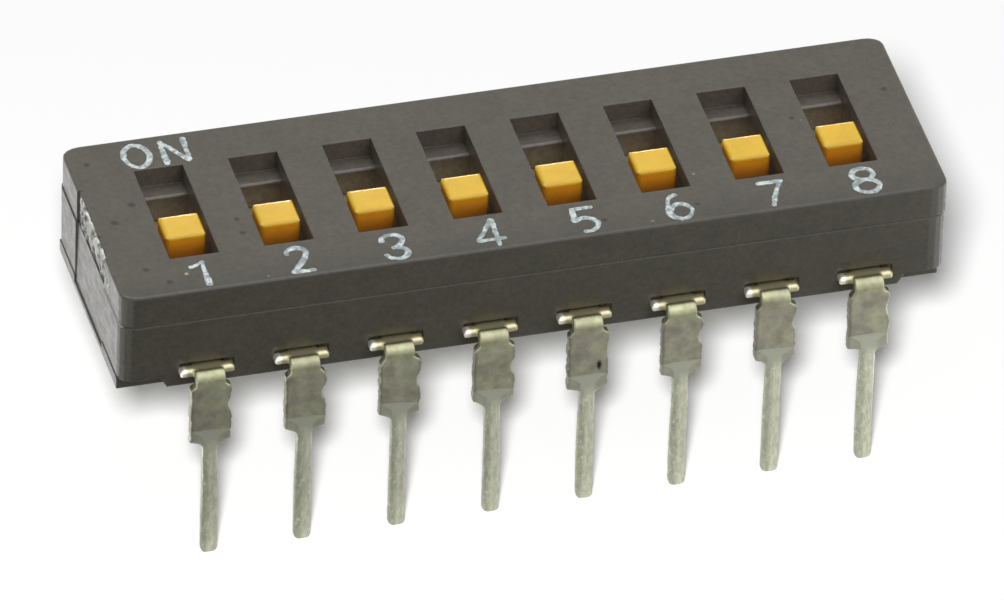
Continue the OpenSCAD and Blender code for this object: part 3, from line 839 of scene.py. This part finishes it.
# Heights of the seating shoulders (outer left, inner left, inner right, outer right), the radius
# of the outer left corner, the sheared bite (height, depth), the coining line (left, right) and
# how far the lead strays to one side, for each position of the front row
FORMED = [
    ((3.62, 3.53, 3.48, 3.64), 0.02, (4.8, 0.09), (4.05, 4.01), 0.005),
    ((3.62, 3.49, 3.52, 3.63), 0.05, (4.77, 0.11), (4.04, 4.01), -0.012),
    ((3.69, 3.51, 3.48, 3.68), 0.02, (4.73, 0.10), (4.09, 3.98), 0.0),
    ((3.68, 3.45, 3.55, 3.72), 0.02, (4.74, 0.10), (4.08, 4.0), 0.006),
    ((3.59, 3.54, 3.47, 3.64), 0.05, (4.84, 0.04), (4.08, 4.08), 0.01),
    ((3.64, 3.56, 3.63, 3.77), 0.1, (4.86, 0.10), (4.07, 4.08), -0.005),
    ((3.66, 3.54, 3.53, 3.73), 0.2, (4.88, 0.08), (4.11, 4.04), -0.02),
    ((3.65, 3.60, 3.50, 3.62), 0.02, (4.9, 0.06), (4.11, 4.09), -0.012),
]
PLAIN = ((3.63, 3.53, 3.5, 3.63), 0.06, (4.7, 0.07), (4.08, 4.08), 0.0)


def strip_s(z):
    """Place along the strip of a height on its hanging part."""
    return BEND_S + BEND_Z - z


def corner_arc(x, s, r, start, turn, steps=5):
    """Points round a corner of the outline, from one direction in degrees through a turn."""
    angles = [math.radians(start + turn * k / steps) for k in range(steps + 1)]
    return [(x + r * math.cos(a), s + r * math.sin(a)) for a in angles]


def strip_outline(pad_start, seats, corner):
    """Closed outline of the unrolled strip."""
    outer_left, inner_left, inner_right, outer_right = [strip_s(z) for z in seats]

    def upper_half(stub, neck):
        return [
            (PAD_HALF, pad_start), (PAD_HALF, ANCHOR_S), (IN_WALL_HALF, ANCHOR_S),
            (IN_WALL_HALF, WALL_S), (stub, WALL_S),
            (stub, STUB_S - 0.05), (stub - 0.05, STUB_S), (neck + 0.03, STUB_S),
            (neck, STUB_S + 0.03), (neck, strip_s(SHOULDER_Z + 0.03)),
            (neck + 0.02, strip_s(SHOULDER_Z)), (PLATE_HALF - 0.03, strip_s(SHOULDER_Z - 0.09)),
            (PLATE_HALF, strip_s(SHOULDER_Z - 0.15)),
        ]

    right = upper_half(STUB_HALF[1], NECK_HALF[1]) + [
        (PLATE_HALF, outer_right - 0.06), (PLATE_HALF - 0.04, outer_right),
        (LEAD_HALF + 0.04, inner_right - 0.01), (LEAD_HALF, inner_right + 0.04),
        (TIP_HALF, strip_s(1.5)), (TIP_HALF, strip_s(TIP_R)),
    ] + corner_arc(TIP_HALF - TIP_R, strip_s(TIP_R), TIP_R, 0, 90)
    left = corner_arc(TIP_R - TIP_HALF, strip_s(TIP_R), TIP_R, 90, 90) + [
        (-TIP_HALF, strip_s(1.5)), (-LEAD_HALF, inner_left + 0.06),
        (-LEAD_HALF - 0.03, inner_left),
    ] + corner_arc(corner - PLATE_HALF, outer_left - corner, corner, 90, 90) + [
        (-x, s) for x, s in reversed(upper_half(STUB_HALF[0], NECK_HALF[0]))]
    return np.array(right + left + right[:1])


def below_coining(u, s, left, right):
    """How far past the coining line a place is."""
    middle = 0.5 * (left + right) + 0.5 * (right - left) * u / PLATE_HALF
    return s - strip_s(middle + 0.03 * (1 - (u / PLATE_HALF) ** 2))


def fan_half(below):
    """Half width of the coined fan, past the coining line."""
    return PLATE_HALF - 0.03 - (PLATE_HALF - 0.03 - LEAD_HALF) * np.clip(below / 0.27, 0, 1)


def formed_strip(row, shape, rng, step):
    """Grid and field of one unrolled terminal."""
    seats, corner, (bite_z, bite_depth), (coin_left, coin_right), stray = shape
    pad_start = PAD_START[row]
    u_axis = np.arange(-0.8, 0.8 + step, step)
    n_axis = np.arange(-0.01, 0.36, 0.033)
    s_axis = np.concatenate([
        np.arange(pad_start - 0.2, -0.6, 0.13), np.arange(-0.55, strip_s(3.3), step),
        np.arange(strip_s(3.3) + step, strip_s(0.3), 2.4 * step),
        np.arange(strip_s(0.3) + step, strip_s(-0.1), step)])
    u, s = np.meshgrid(u_axis, s_axis, indexing="ij")
    drop = s - BEND_S
    hanging = smooth_step(drop, 0.0, 0.1)
    # The lead strays a little, and its sides and the plate's are sheared unevenly
    lead = smooth_step(s, *[strip_s(z) for z in LEAD_Z])
    centre = stray * smooth_step(s, *[strip_s(z) for z in STRAY_Z])
    centre = centre + 0.012 * lead * wave_field(rng, 3, 1.6)(0 * s, s)
    plate = hanging * (1 - lead)
    coarse = 0.012 * wave_field(rng, 6, 15.0)(u * 0.4, s)
    fine = 0.007 * wave_field(rng, 8, 45.0)(u, s)
    shear = plate * (coarse + fine)
    shear += 0.004 * lead * wave_field(rng, 6, 22.0)(u, s)
    line = strip_outline(pad_start, seats, corner)
    flat = distance_to_line(u - centre, s, line)
    flat = np.where(is_within(u - centre, s, line), flat, -flat) + shear
    bite_r = (NOTCH_L ** 2 / 4 + bite_depth ** 2) / (2 * bite_depth)
    bite = np.hypot(u - (PLATE_HALF - bite_depth + bite_r), s - strip_s(bite_z)) - bite_r
    flat = rounded(flat, bite, 0.06)
    # Outer face: coined below the line in a fan that narrows to the lead, and crowned on the lead
    below = below_coining(u, s, coin_left, coin_right)
    fan = fan_half(below)
    top = STRIP_TOP - STUB_FALL * (1 - smooth_step(s, -0.02, 0.16))
    top = top - COIN_T * smooth_step(below, 0, 0.1)
    top = top - FAN_T * smooth_step(np.abs(u) - fan, 0, 0.07) * smooth_step(below, 0, 0.04)
    top = top - lead * (0.01 * (u / LEAD_HALF) ** 2 + 0.12 * np.maximum(-0.05 - u, 0))
    top = top + hanging * 0.0012 * wave_field(rng, 9, 9.0)(u, s)
    top = top + lead * 0.0022 * wave_field(rng, 12, 30.0)(u, s)
    # The stub and the edges that the punch pulled down are rounder than the rest
    edge = STUB_EDGE_R - (STUB_EDGE_R - EDGE_R) * smooth_step(s, 0.0, 0.1)
    edge = edge + plate * (0.015 + 0.012 * wave_field(rng, 5, 18.0)(u, s))
    edge = np.clip(edge, EDGE_LEAST_R, STUB_EDGE_R)
    n = n_axis[None, None, :]
    field = rounded(flat[:, :, None], top[:, :, None] - n, edge[:, :, None])
    low = STRIP_LOW - 0.03 * (1 - smooth_step(s, -0.02, 0.16))
    field = rounded(field, n - low[:, :, None], 0.03)
    return (u_axis, s_axis, n_axis), field


def formed_terminal(row, position, shape, material):
    """One terminal, bent from its strip, in the place of the CAD one."""
    rng = np.random.default_rng(TERMINAL_SEED[row] + position)
    axes, field = formed_strip(row, shape, rng, STRIP_STEP[row])
    corners, quads = surface_net(field)
    u, s, n = on_axes(corners, axes)
    angle = np.clip(s / STRIP_TOP, 0, 0.5 * math.pi)
    out = BEND_Y + np.minimum(s, 0) + n * np.sin(angle)
    z = BEND_Z + n * np.cos(angle) - np.maximum(s - BEND_S, 0)
    side = -1 if row == "front" else 1
    points = np.stack([FIRST_X + (position - 1) * PITCH - side * u, side * out, z], 1)
    name = f"formed_{row}_{position}"
    piece = mesh_piece(name, points, quads[:, ::-1], material)
    below = below_coining(u, s, *shape[3])
    past_fan = smooth_step(np.abs(u) - fan_half(below), -0.02, 0.04)
    coined = smooth_step(below, -0.02, 0.02) * (1 - past_fan)
    coined = np.maximum(coined, 0.45 * smooth_step(below, 0, 0.06))
    coined = np.maximum(coined, smooth_step(below, 0.5, 0.6))
    strip = piece.data.attributes.new("strip", "FLOAT_VECTOR", "POINT")
    strip.data.foreach_set("vector", np.stack([u, BEND_Z + BEND_S - s, coined], 1).ravel())
    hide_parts(f"terminal_{row}_{position}")
    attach(piece, "housing")


def make_terminals(material):
    """Both rows: each front terminal as the photo shows it, and the hidden ones alike."""
    for position in range(1, POSITIONS + 1):
        formed_terminal("front", position, FORMED[position - 1], material)
        formed_terminal("back", position, PLAIN, material)


# ---------------------------------------------------------------- gate scar
# Closed outline (y, z) of the torn plastic on the left end
SCAR_LINE = [
    (1.25, 8.21), (0.55, 8.22), (0.0, 8.21), (-0.5, 8.2), (-1.0, 8.21), (-1.6, 8.2), (-2.0, 8.19),
    (-2.14, 8.02), (-2.02, 7.8), (-2.1, 7.6), (-1.85, 7.44), (-1.6, 7.46), (-1.2, 7.4),
    (-0.7, 7.46), (-0.2, 7.4), (0.2, 7.46), (0.5, 7.38), (0.85, 7.42), (1.08, 7.56), (1.12, 7.85),
    (1.25, 8.21),
]
SCAR_STEP = 0.03
SCAR_PROUD = 0.02
SCAR_SUNK = -0.06
SCAR_BACK = 0.14
SCAR_EDGE_R = 0.015
SCAR_SEED = 77


def make_scar(material):
    """A ragged plate over the well, whose outer face is torn into ridges."""
    rng = np.random.default_rng(SCAR_SEED)
    end_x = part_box("cover")[0].x / MM
    y_axis = np.arange(-2.5, 1.5, SCAR_STEP)
    z_axis = np.arange(7.2, 8.32, SCAR_STEP)
    out_axis = np.arange(-0.16, 0.06, 0.5 * SCAR_STEP)
    y, z = np.meshgrid(y_axis, z_axis, indexing="ij")
    line = np.array(SCAR_LINE)
    flat = distance_to_line(y, z, line)
    flat = np.where(is_within(y, z, line), flat, -flat) + 0.02 * wave_field(rng, 9, 24.0)(y, z)
    flat = np.minimum(flat, TOP_Z - 0.01 - z)
    along = y + 0.8 * z
    ridges = 1 - np.abs(wave_field(rng, 6, 4.5)(2 * (z - 0.3 * y), 0.4 * along))
    ridges = ridges + 0.3 * wave_field(rng, 9, 14.0)(y, z)
    top = np.clip(SCAR_PROUD - 0.075 + 0.065 * ridges, SCAR_SUNK, SCAR_PROUD)
    out = out_axis[None, None, :]
    field = rounded(flat[:, :, None] + 0 * out, top[:, :, None] - out, SCAR_EDGE_R)
    field = np.minimum(field, out + SCAR_BACK)
    corners, quads = surface_net(field)
    y, z, out = on_axes(corners, (y_axis, z_axis, out_axis))
    piece = mesh_piece("gate_scar", np.stack([end_x - out, y, z], 1), quads, material)
    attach(piece, "housing")


# ---------------------------------------------------------------- build
make_camera()
make_world()
make_lamps(make_floor())
materials = {
    "housing_plastic": housing_plastic(),
    "slider_plastic": slider_plastic(),
    "tin_plated_lead": tin_plated_lead(),
    "gold_plated_spring": gold_plated_spring(),
}
dress_cad_nodes(materials)
make_legend(legend_ink())
make_terminals(materials["tin_plated_lead"])
make_scar(torn_plastic())

bpy.context.scene.view_settings.view_transform = "Standard"
